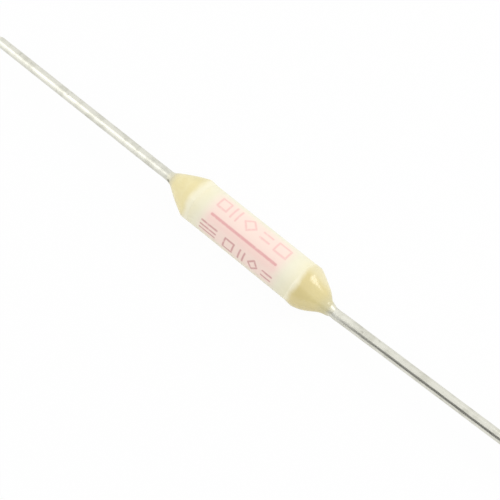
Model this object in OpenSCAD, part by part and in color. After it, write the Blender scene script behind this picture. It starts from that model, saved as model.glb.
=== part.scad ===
// Axial thermal fuse. A low-melting alloy link joins two wire leads inside a ceramic tube,
// and a cone of resin at each end seals the tube and grips the lead.
// Millimetres. The tube lies along X with its middle at the origin, and Z is up.

/* [Ceramic case] */
// Outer diameter of the tube
case_d = 2.5; // [2.2:0.1:3.2]
// Length of the tube
case_l = 7.8; // [6.5:0.1:10]
// Thickness of the tube's wall
case_wall = 0.4; // [0.3:0.05:0.5]
// Chamfer round the outside of each rim
case_chamfer = 0.1; // [0.05:0.01:0.15]

/* [Leads] */
// Diameter of the wire
lead_d = 0.6; // [0.5:0.05:0.7]
// Bare length of the left lead
left_lead_l = 13.45; // [8:0.05:40]
// Bare length of the right lead
right_lead_l = 13.45; // [8:0.05:40]
// Sideways place of the left lead where it leaves its seal
left_lead_offset = 0.04; // [-0.2:0.01:0.2]
// Sideways place of the right lead where it leaves its seal
right_lead_offset = -0.16; // [-0.2:0.01:0.2]
// Sideways lean of the left lead in degrees
left_lead_lean = -0.3; // [-3:0.1:3]
// Sideways lean of the right lead in degrees
right_lead_lean = 2; // [-3:0.1:3]
// Thickness of the cold-formed head at the inner end
head_t = 0.25; // [0.15:0.05:0.4]
// Room between a head and the bore
head_gap = 0.1; // [0.05:0.01:0.15]
// Growth of the wire's radius under the head
neck_swell = 0.03; // [0.01:0.01:0.06]
// Slope of the two flats that the wire cutter leaves on the free end
cut_slope = 50; // [20:1:55]

/* [Seals] */
// Length of the left cone, from the rim to where it meets the wire
left_seal_l = 1.83; // [1.2:0.01:2.4]
// Length of the right cone, from the rim to where it meets the wire
right_seal_l = 1.55; // [1.2:0.01:2.4]
// Height of the left cone's outward bow
left_seal_crown = 0.05; // [0.02:0.01:0.15]
// Height of the right cone's outward bow
right_seal_crown = 0.11; // [0.02:0.01:0.15]
// Sideways drift of the left cone's tip
left_seal_drift = 0.11; // [-0.15:0.01:0.15]
// Sideways drift of the right cone's tip
right_seal_drift = -0.07; // [-0.15:0.01:0.15]
// Depth of the plug in the bore
seal_depth = 0.9; // [0.6:0.05:1.3]
// Length of the skirt of resin over the outside of the rim
skirt_l = 0.4; // [0.3:0.05:0.6]
// Least overhang of each cone past the outside of the tube
seal_lip = 0.015; // [0.012:0.001:0.03]
// Thickness of the skirt at its edge
film_t = 0.012; // [0.008:0.001:0.015]
// Length of each meniscus along the wire, from its free edge to its root in the cone
meniscus_l = 1; // [0.8:0.05:1.2]
// Thickness of each meniscus at its root
meniscus_t = 0.27; // [0.2:0.01:0.3]
// Thickness of each meniscus at its free edge
meniscus_edge = 0.04; // [0.02:0.005:0.06]
// Reach of the left meniscus past its cone's tip
left_meniscus_reach = 0.2; // [0.1:0.01:0.5]
// Reach of the right meniscus past its cone's tip
right_meniscus_reach = 0.45; // [0.1:0.01:0.5]

/* [Link and flux] */
// Step from a head's edge in to the link's side
weld_step = 0.12; // [0.08:0.01:0.16]
// Thickness of the flux round the link
flux_t = 0.08; // [0.05:0.01:0.12]

/* [Hidden] */
case_r = case_d / 2;
bore_r = case_r - case_wall;
wall_mid_r = case_r - case_wall / 2;
lead_r = lead_d / 2;

// How far outside the rim's plane each lead leaves its meniscus
left_exit = left_seal_l + left_meniscus_reach;
right_exit = right_seal_l + right_meniscus_reach;

// Middle of each head's inner face, as X and Y
left_head = head_point(-1, left_exit, left_lead_offset, left_lead_lean);
right_head = head_point(1, right_exit, right_lead_offset, right_lead_lean);

head_r = bore_r - head_gap - max(abs(left_head.y), abs(right_head.y));
link_r = head_r - weld_step;
flux_r = link_r + flux_t;
link_run = right_head - left_head;

// Facets of round shapes, and of the long bows in the seals' outlines
round_fn = 96;
bow_fn = 360;

// Where the middle of a lead's inner face lies in the part's frame
function head_point(side, exit, offset, lean) =
    let (inward = exit + seal_depth + head_t)
    [
        side * (case_l / 2 + exit - inward * cos(lean)),
        offset - inward * sin(lean),
    ];

// Puts a shape drawn along +Z from the rim's plane on the left (-1) or right (1) end of the tube
module at_end(side)
    translate([side * case_l / 2, 0, 0])
        rotate([0, side * 90, 0])
            children();

// Puts a shape drawn along the wire, from the end of its meniscus, in its place on a tube end
module on_wire(exit, offset, lean)
    translate([0, offset, exit])
        rotate([-lean, 0, 0])
            children();

// Tube with chamfered rims, from one rim's plane down
module case_form()
    rotate_extrude($fn = round_fn)
        polygon([
            [bore_r, -case_l],
            [case_r - case_chamfer, -case_l],
            [case_r, case_chamfer - case_l],
            [case_r, -case_chamfer],
            [case_r - case_chamfer, 0],
            [bore_r, 0],
        ]);

// Headed wire, with two flats at its free end, cut from a blank that is a radius longer
module wire_form(bare_l, exit) {
    buried_l = exit + seal_depth;
    blank_l = bare_l + lead_r;
    difference() {
        rotate_extrude($fn = round_fn)
            polygon([
                [0, -buried_l - head_t],
                [head_r, -buried_l - head_t],
                [head_r, -buried_l],
                [lead_r + neck_swell, -buried_l],
                [lead_r, 0],
                [lead_r, blank_l],
                [0, blank_l],
            ]);
        for (turn = [0, 180])
            translate([0, 0, bare_l])
                rotate([0, 0, turn])
                    rotate([-cut_slope, 0, 0])
                        translate([-lead_d, -lead_d, 0])
                            cube([2 * lead_d, 3 * lead_d, 2 * lead_d]);
    }
}

// Half outline of a seal: a plug for the bore, a skirt for the outside of the rim, and a cone that
// bows outwards between the rim and the wire. Plug and skirt reach into the wall, which trims them.
module seal_outline(seal_l, crown, rim_r) {
    chord = norm([rim_r - lead_r, seal_l]);
    outward = [seal_l, rim_r - lead_r] / chord;
    bow_r = (pow(chord / 2, 2) + pow(crown, 2)) / (2 * crown);
    middle = [rim_r + lead_r, seal_l] / 2;
    intersection() {
        translate(middle - outward * (bow_r - crown))
            circle(bow_r, $fn = bow_fn);
        square([case_d, seal_l + lead_d]);
    }
    polygon([
        [wall_mid_r, -skirt_l],
        [case_r + film_t, -skirt_l],
        [rim_r, 0],
        [wall_mid_r, 0],
    ]);
    translate([0, -seal_depth])
        square([wall_mid_r, seal_depth]);
}

// Seal before it is hollowed, tipped over at the skirt's edge so that its point drifts sideways
module seal_blank(seal_l, crown, drift) {
    tip = atan(drift / (seal_l + skirt_l));
    rim_r = case_r + seal_lip + skirt_l * abs(sin(tip));
    translate([0, 0, -skirt_l])
        rotate([-tip, 0, 0])
            translate([0, 0, skirt_l])
                rotate_extrude($fn = round_fn)
                    seal_outline(seal_l, crown, rim_r);
}

// Hollow flare of resin that creeps along the wire
module meniscus() {
    flare = meniscus_t - meniscus_edge;
    flare_r = (pow(meniscus_l, 2) + pow(flare, 2)) / (2 * flare);
    rotate_extrude($fn = round_fn)
        difference() {
            translate([0, -meniscus_l])
                square([lead_r + meniscus_t, meniscus_l]);
            translate([lead_r + meniscus_edge + flare_r, 0])
                circle(flare_r, $fn = bow_fn);
        }
}

// Whole seal, hollowed by the tube and the wire that it grips
module seal_form(seal_l, crown, drift, bare_l, exit, offset, lean)
    difference() {
        union() {
            seal_blank(seal_l, crown, drift);
            on_wire(exit, offset, lean)
                meniscus();
        }
        case_form();
        on_wire(exit, offset, lean)
            wire_form(bare_l, exit);
    }

// Rod between the two heads that reaches into them, to be trimmed by their faces
module rod_between_heads(radius)
    translate([left_head.x, left_head.y, 0])
        rotate([0, 0, atan2(link_run.y, link_run.x)])
            rotate([0, 90, 0])
                translate([0, 0, -head_t / 2])
                    cylinder(r = radius, h = norm(link_run) + head_t, $fn = round_fn);

module ceramic_case()
    color("white")
        at_end(1)
            case_form();

module left_lead()
    color("silver")
        at_end(-1)
            on_wire(left_exit, left_lead_offset, left_lead_lean)
                wire_form(left_lead_l, left_exit);

module right_lead()
    color("silver")
        at_end(1)
            on_wire(right_exit, right_lead_offset, right_lead_lean)
                wire_form(right_lead_l, right_exit);

module left_seal()
    color("palegoldenrod")
        at_end(-1)
            seal_form(left_seal_l, left_seal_crown, left_seal_drift,
                left_lead_l, left_exit, left_lead_offset, left_lead_lean);

module right_seal()
    color("palegoldenrod")
        at_end(1)
            seal_form(right_seal_l, right_seal_crown, right_seal_drift,
                right_lead_l, right_exit, right_lead_offset, right_lead_lean);

module fusible_link()
    color("darkgray")
        difference() {
            rod_between_heads(link_r);
            left_lead();
            right_lead();
        }

module flux_coat()
    color("goldenrod")
        difference() {
            rod_between_heads(flux_r);
            rod_between_heads(link_r);
            left_lead();
            right_lead();
        }

ceramic_case();
left_lead();
right_lead();
left_seal();
right_seal();
fusible_link();
flux_coat();
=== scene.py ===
"""Looks of an axial thermal fuse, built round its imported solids.

The tube, the two leads and the two resin seals get finer meshes of the same form, and every piece gets
a finish of its own. Sizes are in millimetres here and become metres when a mesh is made. The tube lies
along X with its middle at the origin, and Z is up.
"""
import logging
import math
from dataclasses import dataclass
from enum import Enum
from typing import Union

import bpy
import numpy as np
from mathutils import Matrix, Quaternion, Vector, noise


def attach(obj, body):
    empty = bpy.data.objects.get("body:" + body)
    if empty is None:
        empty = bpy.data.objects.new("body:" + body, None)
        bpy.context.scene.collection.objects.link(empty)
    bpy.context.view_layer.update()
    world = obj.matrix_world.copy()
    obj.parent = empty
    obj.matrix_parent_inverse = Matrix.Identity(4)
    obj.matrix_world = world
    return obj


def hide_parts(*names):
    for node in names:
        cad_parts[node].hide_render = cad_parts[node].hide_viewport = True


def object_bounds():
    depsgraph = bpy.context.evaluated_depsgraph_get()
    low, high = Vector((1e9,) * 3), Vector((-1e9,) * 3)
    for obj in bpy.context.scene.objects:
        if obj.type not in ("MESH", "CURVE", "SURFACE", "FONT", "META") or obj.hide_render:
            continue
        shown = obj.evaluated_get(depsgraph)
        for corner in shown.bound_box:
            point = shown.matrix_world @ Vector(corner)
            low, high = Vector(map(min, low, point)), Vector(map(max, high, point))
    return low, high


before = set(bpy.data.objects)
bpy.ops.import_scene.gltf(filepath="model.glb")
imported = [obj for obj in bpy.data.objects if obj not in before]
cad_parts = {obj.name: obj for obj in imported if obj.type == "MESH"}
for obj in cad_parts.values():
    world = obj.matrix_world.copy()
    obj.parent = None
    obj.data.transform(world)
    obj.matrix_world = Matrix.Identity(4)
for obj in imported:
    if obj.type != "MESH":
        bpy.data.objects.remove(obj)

CAD_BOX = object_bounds()
MM = 0.001
BODY = "root"
TURN = 2 * math.pi

log = logging.getLogger("thermal_fuse")

Colour = tuple[float, float, float]
Point = tuple[float, float, float]
Span = tuple[float, float]
Socket = bpy.types.NodeSocket
Sockets = dict[str, Socket]
Feed = Union[Socket, float, tuple[float, ...]]

# Spans of values: most of a noise texture, a whole mask, and a mask that fades out
NOISE_BAND: Span = (0.3, 0.7)
WHOLE: Span = (0.0, 1.0)
FADING: Span = (1.0, 0.0)
MASK_MIDDLE = 0.5
WHITE_LIGHT: Colour = (1.0, 1.0, 1.0)

# How a seed shifts a piece's unevenness along each axis, and the length below which a way has no direction
SEED_WAY: Point = (1.0, 1.7, 0.6)
LEAST_LENGTH = 1e-6


class Side(Enum):
    """The end of the tube that a piece belongs to, as the sign of its X."""

    LEFT = -1
    RIGHT = 1


class Slot(Enum):
    """Material slot names: ceramic, tinned wire and resin. Nothing in this script uses them."""

    CERAMIC = "ceramic"
    WIRE = "tinned_wire"
    RESIN = "resin"


class SocketKind(Enum):
    """Kinds of socket on a node group."""

    VALUE = "NodeSocketFloat"
    VECTOR = "NodeSocketVector"


def linear(red: int, green: int, blue: int) -> Colour:
    """Turn a screen colour into a linear one.

    Args:
        red: Red from 0 to 255.
        green: Green from 0 to 255.
        blue: Blue from 0 to 255.

    Returns:
        The three linear values.
    """
    full, toe, toe_slope, lift, power = 255, 0.04045, 12.92, 0.055, 2.4
    values = (channel / full for channel in (red, green, blue))
    return tuple(v / toe_slope if v <= toe else ((v + lift) / (1 + lift)) ** power for v in values)


# Meshes


def join_rings(rings: np.ndarray, loop: bool) -> tuple[np.ndarray, list[tuple[int, ...]]]:
    """Join rings of points into one closed skin.

    Args:
        rings: Points in millimetres, by ring, place round the ring, and axis.
        loop: Whether the last ring joins the first one. Otherwise each end is closed to its middle.

    Returns:
        The points, and the faces as point numbers.
    """
    count, sides = rings.shape[:2]
    points = rings.reshape(-1, 3)
    faces: list[tuple[int, ...]] = []
    for ring in range(count if loop else count - 1):
        after = (ring + 1) % count
        for k in range(sides):
            step = (k + 1) % sides
            faces.append((ring * sides + k, ring * sides + step, after * sides + step, after * sides + k))
    if not loop:
        points = np.concatenate([points, rings[:1].mean(1), rings[-1:].mean(1)])
        first, last = count * sides, count * sides + 1
        end = (count - 1) * sides
        for k in range(sides):
            step = (k + 1) % sides
            faces.append((step, k, first))
            faces.append((end + k, end + step, last))
    return points, faces


def signed_volume(points: np.ndarray, faces: list[tuple[int, ...]]) -> float:
    """Volume inside a closed skin, which is negative where its faces look inwards.

    Args:
        points: Points of the skin.
        faces: Faces as point numbers.

    Returns:
        The volume with its sign.
    """
    total = 0.0
    for face in faces:
        a = points[face[0]]
        for b, c in zip(face[1:], face[2:]):
            total += float(np.dot(a, np.cross(points[b], points[c])))
    return total / 6


def make_piece(name: str, rings: np.ndarray, loop: bool, sharp_deg: float) -> bpy.types.Object:
    """Make a smooth mesh object from rings.

    Args:
        name: Name of the piece.
        rings: Points in millimetres, by ring, place round the ring, and axis.
        loop: Whether the last ring joins the first one.
        sharp_deg: Edges that turn by more than this stay sharp.

    Returns:
        The new object, in the scene.
    """
    points, faces = join_rings(rings, loop)
    mesh = bpy.data.meshes.new(name)
    mesh.from_pydata((points * MM).tolist(), [], faces)
    mesh.validate()
    if signed_volume(points, faces) < 0:
        mesh.flip_normals()
    mesh.shade_smooth()
    mesh.set_sharp_from_angle(angle=math.radians(sharp_deg))
    piece = bpy.data.objects.new(name, mesh)
    bpy.context.scene.collection.objects.link(piece)
    return piece


def circle_of(sides: int) -> np.ndarray:
    """Return the angles of evenly spaced points round a circle."""
    return np.linspace(0, TURN, sides, endpoint=False)


def round_line(points: np.ndarray, run: float, steps: int) -> np.ndarray:
    """Round the corners of a closed outline with short curves.

    Args:
        points: Corners of the outline, in order.
        run: How far from each corner its curve starts and ends.
        steps: Points in each curve.

    Returns:
        The outline with its corners rounded.
    """
    rounded = []
    for before, corner, after in zip(np.roll(points, 1, 0), points, np.roll(points, -1, 0)):
        start, end = (
            corner + (other - corner) / np.linalg.norm(other - corner) * run for other in (before, after)
        )
        for t in np.linspace(0, 1, steps):
            rounded.append((1 - t) ** 2 * start + 2 * t * (1 - t) * corner + t ** 2 * end)
    return np.array(rounded)


def fill_line(points: np.ndarray, spacing: float) -> np.ndarray:
    """Add points to a closed outline where they lie far apart.

    Args:
        points: Points of the outline, in order.
        spacing: The longest step to leave.

    Returns:
        The outline with the added points.
    """
    filled = []
    for start, end in zip(points, np.roll(points, -1, 0)):
        parts = max(1, math.ceil(np.linalg.norm(end - start) / spacing))
        filled.extend(start + (end - start) * k / parts for k in range(parts))
    return np.array(filled)


def ease(share: np.ndarray) -> np.ndarray:
    """Return shares from 0 to 1 with a soft start and a soft end."""
    return share ** 2 * (3 - 2 * share)


@dataclass(frozen=True)
class Waves:
    """Smooth unevenness from about -1 to 1, by waves to a millimetre and a stretch along each axis."""

    frequency: float
    seed_step: float = 0.0
    stretch: Point = (1.0, 1.0, 1.0)

    def on(self, points: np.ndarray, seed: float) -> np.ndarray:
        """Unevenness at each point.

        Args:
            points: Points in millimetres, by any number of places, and axis.
            seed: Shift that makes one piece differ from the next.

        Returns:
            One value for each point.
        """
        shift = Vector([(seed + self.seed_step) * way for way in SEED_WAY])
        flat = (points * np.array(self.stretch)).reshape(-1, 3)
        values = [noise.noise(Vector(p) * self.frequency + shift) for p in flat]
        return np.array(values).reshape(points.shape[:-1])


# Shader building


@dataclass
class Wiring:
    """Adds nodes to one shader tree and joins them."""

    tree: bpy.types.NodeTree

    def add(self, kind: str, feeds: dict[str | int, Feed] | None = None,
            **settings: object) -> bpy.types.Node:
        """Add a node.

        Args:
            kind: Blender's name for the node.
            feeds: What goes into its sockets, by name or number: another socket, or a value.
            settings: Properties of the node.

        Returns:
            The node.
        """
        node = self.tree.nodes.new(kind)
        for key, value in settings.items():
            setattr(node, key, value)
        for key, feed in (feeds or {}).items():
            self.feed(node.inputs[key], feed)
        return node

    def feed(self, socket: Socket, feed: Feed) -> None:
        """Join or set one input.

        Args:
            socket: The input.
            feed: Another socket, or a value.
        """
        if isinstance(feed, Socket):
            self.tree.links.new(feed, socket)
        elif socket.type == "RGBA":
            socket.default_value = (*feed, 1.0)
        else:
            socket.default_value = feed

    def sum(self, operation: str, *feeds: Feed) -> Socket:
        """Add a sum on single values and return its result."""
        return self.add("ShaderNodeMath", dict(enumerate(feeds)), operation=operation).outputs[0]

    def plus(self, first: Feed, second: Feed) -> Socket:
        """Return two values added up."""
        return self.sum("ADD", first, second)

    def minus(self, first: Feed, second: Feed) -> Socket:
        """Return the first value less the second."""
        return self.sum("SUBTRACT", first, second)

    def times(self, first: Feed, second: Feed) -> Socket:
        """Return one value times another."""
        return self.sum("MULTIPLY", first, second)

    def most(self, first: Feed, second: Feed) -> Socket:
        """Return the larger of two values."""
        return self.sum("MAXIMUM", first, second)

    def unsigned(self, value: Feed) -> Socket:
        """Return a value without its sign."""
        return self.sum("ABSOLUTE", value)

    def vector(self, operation: str, *feeds: Feed, out: str = "Vector") -> Socket:
        """Add a sum on vectors and return the named result."""
        return self.add("ShaderNodeVectorMath", dict(enumerate(feeds)), operation=operation).outputs[out]

    def axes(self, vector: Feed) -> Sockets:
        """Return a vector's three values by axis."""
        node = self.add("ShaderNodeSeparateXYZ", {0: vector})
        return {axis: node.outputs[axis] for axis in "XYZ"}

    def span(self, value: Feed, low: Feed, high: Feed, to_low: Feed = 0.0, to_high: Feed = 1.0) -> Socket:
        """Carry a value smoothly from one span to another.

        Args:
            value: The value.
            low: Where the first span starts.
            high: Where the first span ends.
            to_low: Where the second span starts.
            to_high: Where the second span ends.

        Returns:
            The carried value.
        """
        feeds = {"Value": value, "From Min": low, "From Max": high, "To Min": to_low, "To Max": to_high}
        return self.add("ShaderNodeMapRange", feeds, interpolation_type="SMOOTHSTEP").outputs["Result"]

    def blend(self, share: Feed, first: Feed, second: Feed) -> Socket:
        """Blend two colours.

        Args:
            share: Share of the second colour.
            first: The first colour.
            second: The second colour.

        Returns:
            The blended colour.
        """
        node = self.add("ShaderNodeMix", data_type="RGBA")
        for key, feed in (("Factor_Float", share), ("A_Color", first), ("B_Color", second)):
            self.feed(next(s for s in node.inputs if s.identifier == key), feed)
        return next(s for s in node.outputs if s.identifier == "Result_Color")

    def place(self) -> Socket:
        """Return the place on the part in millimetres."""
        feeds = {0: self.add("ShaderNodeTexCoord").outputs["Object"], "Scale": 1 / MM}
        return self.add("ShaderNodeVectorMath", feeds, operation="SCALE").outputs["Vector"]


class Effect:
    """A shared effect, kept as a node group that is built once."""

    name: str = ""
    inputs: dict[str, SocketKind] = {}
    outputs: tuple[str, ...] = ()

    def draw(self, wiring: Wiring, given: Sockets) -> tuple[Socket, ...]:
        """Build the nodes inside the group.

        Args:
            wiring: Wiring of the group's tree.
            given: The group's inputs by name.

        Returns:
            The sockets that go to the group's outputs, in order.
        """
        raise NotImplementedError

    def group(self) -> bpy.types.NodeTree:
        """Find the group, or build it at the first call.

        Returns:
            The group.
        """
        known = bpy.data.node_groups.get(self.name)
        if known:
            return known
        tree = bpy.data.node_groups.new(self.name, "ShaderNodeTree")
        for label, kind in self.inputs.items():
            tree.interface.new_socket(label, in_out="INPUT", socket_type=kind.value)
        for label in self.outputs:
            tree.interface.new_socket(label, in_out="OUTPUT", socket_type=SocketKind.VALUE.value)
        wiring = Wiring(tree)
        entry = wiring.add("NodeGroupInput")
        given = {label: entry.outputs[label] for label in self.inputs}
        results = self.draw(wiring, given)
        wiring.add("NodeGroupOutput", dict(zip(self.outputs, results)))
        return tree

    def on(self, wiring: Wiring, **feeds: Feed) -> tuple[Socket, ...]:
        """Place the effect in a material.

        Args:
            wiring: Wiring of the material's tree.
            feeds: What goes into the group's inputs, by name.

        Returns:
            The group's outputs in order.
        """
        node = wiring.add("ShaderNodeGroup", node_tree=self.group())
        for label, feed in feeds.items():
            wiring.feed(node.inputs[label], feed)
        return tuple(node.outputs[label] for label in self.outputs)


class Cloud(Effect):
    """Soft patches with no edge of their own."""

    name = "cloud"
    inputs = {"Place": SocketKind.VECTOR, "Scale": SocketKind.VALUE,
              "Low": SocketKind.VALUE, "High": SocketKind.VALUE}
    outputs = ("Mask",)
    detail = 3.0
    roughness = 0.55

    def draw(self, wiring: Wiring, given: Sockets) -> tuple[Socket, ...]:
        """Build the nodes inside the group.

        Args:
            wiring: Wiring of the group's tree.
            given: The group's inputs by name.

        Returns:
            The mask of the patches.
        """
        feeds = {"Vector": given["Place"], "Scale": given["Scale"],
                 "Detail": self.detail, "Roughness": self.roughness}
        waves = wiring.add("ShaderNodeTexNoise", feeds).outputs[0]
        return (wiring.span(waves, given["Low"], given["High"]),)


class Grain(Effect):
    """Fine grain, as in a fired or cast surface, and the few pits in it."""

    name = "grain"
    inputs = {"Place": SocketKind.VECTOR, "Scale": SocketKind.VALUE}
    outputs = ("Height", "Pits")
    detail = 4.0
    roughness = 0.6
    cell_scale = 0.35
    pit_span = (0.05, 0.16)

    def draw(self, wiring: Wiring, given: Sockets) -> tuple[Socket, ...]:
        """Build the nodes inside the group.

        Args:
            wiring: Wiring of the group's tree.
            given: The group's inputs by name.

        Returns:
            The grain's height and the mask of the pits.
        """
        feeds = {"Vector": given["Place"], "Scale": given["Scale"],
                 "Detail": self.detail, "Roughness": self.roughness}
        height = wiring.add("ShaderNodeTexNoise", feeds).outputs[0]
        cells = {"Vector": given["Place"], "Scale": wiring.times(given["Scale"], self.cell_scale)}
        near = wiring.add("ShaderNodeTexVoronoi", cells).outputs["Distance"]
        return height, wiring.span(near, *self.pit_span, *FADING)


class DrawnLines(Effect):
    """Fine lines along X, as a drawing die leaves them on wire."""

    name = "drawn_lines"
    inputs = {"Place": SocketKind.VECTOR, "Along": SocketKind.VALUE, "Across": SocketKind.VALUE}
    outputs = ("Height",)
    detail = 3.0

    def draw(self, wiring: Wiring, given: Sockets) -> tuple[Socket, ...]:
        """Build the nodes inside the group.

        Args:
            wiring: Wiring of the group's tree.
            given: The group's inputs by name.

        Returns:
            The height of the lines.
        """
        across = given["Across"]
        stretch = wiring.add("ShaderNodeCombineXYZ", {0: given["Along"], 1: across, 2: across}).outputs[0]
        stretched = wiring.vector("MULTIPLY", given["Place"], stretch)
        feeds = {"Vector": stretched, "Scale": 1.0, "Detail": self.detail}
        return (wiring.add("ShaderNodeTexNoise", feeds).outputs[0],)


class TubeMap(Effect):
    """Place on the unrolled tube: along it, and round it from the printed rule towards +Y."""

    name = "tube_map"
    inputs = {"Place": SocketKind.VECTOR, "Radius": SocketKind.VALUE, "Rule angle": SocketKind.VALUE}
    outputs = ("Along", "Round")

    def draw(self, wiring: Wiring, given: Sockets) -> tuple[Socket, ...]:
        """Build the nodes inside the group.

        Args:
            wiring: Wiring of the group's tree.
            given: The group's inputs by name.

        Returns:
            The place along the tube and the place round it.
        """
        axes = wiring.axes(given["Place"])
        angle = wiring.sum("ARCTAN2", axes["Y"], axes["Z"])
        return axes["X"], wiring.times(wiring.minus(angle, given["Rule angle"]), given["Radius"])


class FrameMark(Effect):
    """A printed frame with soft edges and round corners, or a line where one of its half sizes is 0."""

    name = "frame_mark"
    inputs = {"Place": SocketKind.VECTOR, "Middle": SocketKind.VECTOR, "Half size": SocketKind.VECTOR,
              "Turn": SocketKind.VALUE, "Half width": SocketKind.VALUE, "Softness": SocketKind.VALUE}
    outputs = ("Mask",)

    def draw(self, wiring: Wiring, given: Sockets) -> tuple[Socket, ...]:
        """Build the nodes inside the group.

        Args:
            wiring: Wiring of the group's tree.
            given: The group's inputs by name.

        Returns:
            The mask of the frame's line.
        """
        here = wiring.vector("SUBTRACT", given["Place"], given["Middle"])
        feeds = {"Vector": here, "Angle": given["Turn"]}
        turned = wiring.add("ShaderNodeVectorRotate", feeds, rotation_type="Z_AXIS").outputs[0]
        past = wiring.vector("SUBTRACT", wiring.vector("ABSOLUTE", turned), given["Half size"])
        outside = wiring.vector("LENGTH", wiring.vector("MAXIMUM", past, (0.0, 0.0, 0.0)), out="Value")
        axes = wiring.axes(past)
        inside = wiring.sum("MINIMUM", wiring.most(axes["X"], axes["Y"]), 0.0)
        off = wiring.unsigned(wiring.plus(outside, inside))
        full = wiring.minus(given["Half width"], given["Softness"])
        gone = wiring.plus(given["Half width"], given["Softness"])
        return (wiring.span(off, full, gone, *FADING),)


CLOUD, GRAIN, DRAWN_LINES, TUBE_MAP, FRAME_MARK = Cloud(), Grain(), DrawnLines(), TubeMap(), FrameMark()


@dataclass(frozen=True)
class Patches:
    """One use of the cloud: its scale, and the noise values at which patches start and are full."""

    scale: float
    low: float
    high: float

    def on(self, wiring: Wiring, place: Socket) -> Socket:
        """Place the cloud in a material and return its mask."""
        return CLOUD.on(wiring, Place=place, Scale=self.scale, Low=self.low, High=self.high)[0]


@dataclass(frozen=True)
class Relief:
    """Fine relief for the light to catch: how strong it is, and how deep in millimetres."""

    strength: float
    depth: float

    def on(self, wiring: Wiring, shader: bpy.types.Node, height: Socket) -> None:
        """Lead a height to a shader's normal."""
        feeds = {"Height": height, "Strength": self.strength, "Distance": self.depth * MM}
        wiring.feed(shader.inputs["Normal"], wiring.add("ShaderNodeBump", feeds).outputs["Normal"])


def new_material(name: str) -> tuple[bpy.types.Material, Wiring, bpy.types.Node]:
    """Make a plain node material.

    Args:
        name: Name of the material.

    Returns:
        The material, its wiring and its Principled shader.
    """
    material = bpy.data.materials.new(name)
    material.use_nodes = True
    return material, Wiring(material.node_tree), material.node_tree.nodes["Principled BSDF"]


def blank_wiring(owner: bpy.types.Material | bpy.types.World) -> Wiring:
    """Switch on the nodes of a material or world and clear them.

    Args:
        owner: The material or world.

    Returns:
        The wiring of its empty tree.
    """
    owner.use_nodes = True
    owner.node_tree.nodes.clear()
    return Wiring(owner.node_tree)


# Printed marks


@dataclass(frozen=True)
class Stroke:
    """A printed frame or line, in millimetres along the tube and round it from the rule."""

    along: float
    around: float
    half_along: float
    half_around: float
    turn_deg: float = 0.0


@dataclass(frozen=True)
class Marks:
    """The strokes that one row of print is made of, and their ink."""

    ink: Colour
    cover: float
    half_width: float
    softness: float
    strokes: tuple[Stroke, ...]
    raised: bool = True

    def mask(self, wiring: Wiring, sheet: Socket) -> Socket:
        """Build the mask of the row.

        Args:
            wiring: Wiring of the material.
            sheet: Place on the unrolled tube.

        Returns:
            The mask, 1 on the strokes.
        """
        whole: Feed = 0.0
        for stroke in self.strokes:
            mask, = FRAME_MARK.on(wiring, **{
                "Place": sheet,
                "Middle": (stroke.along, stroke.around, 0.0),
                "Half size": (stroke.half_along, stroke.half_around, 0.0),
                "Turn": math.radians(stroke.turn_deg),
                "Half width": self.half_width,
                "Softness": self.softness,
            })
            whole = wiring.most(whole, mask)
        return whole


RULE = Marks(
    ink=linear(230, 168, 167), cover=0.9, half_width=0.075, softness=0.04,
    strokes=(Stroke(-0.1, 0.0, 2.2, 0.0),),
)
RULE_HALO = Marks(
    ink=linear(250, 211, 203), cover=0.5, half_width=0.26, softness=0.22, raised=False,
    strokes=(Stroke(-0.1, -0.16, 2.1, 0.0),),
)
UPPER_ROW = Marks(
    ink=linear(243, 192, 187), cover=0.75, half_width=0.055, softness=0.045,
    strokes=(
        Stroke(-2.1, 0.85, 0.3, 0.3),
        Stroke(-1.45, 0.85, 0.0, 0.37),
        Stroke(-1.1, 0.85, 0.0, 0.37),
        Stroke(-0.3, 0.85, 0.27, 0.27, 45.0),
        Stroke(0.8, 0.65, 0.3, 0.0),
        Stroke(0.8, 1.05, 0.3, 0.0),
        Stroke(1.9, 0.85, 0.4, 0.3),
    ),
)
# The lower row's ink is darker than the upper row's, partly as painted shade of the tube's lower side and
# partly the print's own colour
LOWER_ROW = Marks(
    ink=linear(203, 140, 141), cover=0.8, half_width=0.05, softness=0.04,
    strokes=(
        Stroke(-2.08, -0.6, 0.52, 0.0),
        Stroke(-2.08, -0.86, 0.52, 0.0),
        Stroke(-2.08, -1.12, 0.52, 0.0),
        Stroke(-0.65, -0.89, 0.3, 0.29),
        Stroke(0.1, -0.89, 0.0, 0.29),
        Stroke(0.4, -0.89, 0.0, 0.29),
        Stroke(1.05, -0.88, 0.21, 0.21, 45.0),
        Stroke(2.0, -0.75, 0.3, 0.0),
        Stroke(2.0, -1.05, 0.3, 0.0),
    ),
)
PRINT = (RULE_HALO, UPPER_ROW, RULE, LOWER_ROW)


# Finishes


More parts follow.
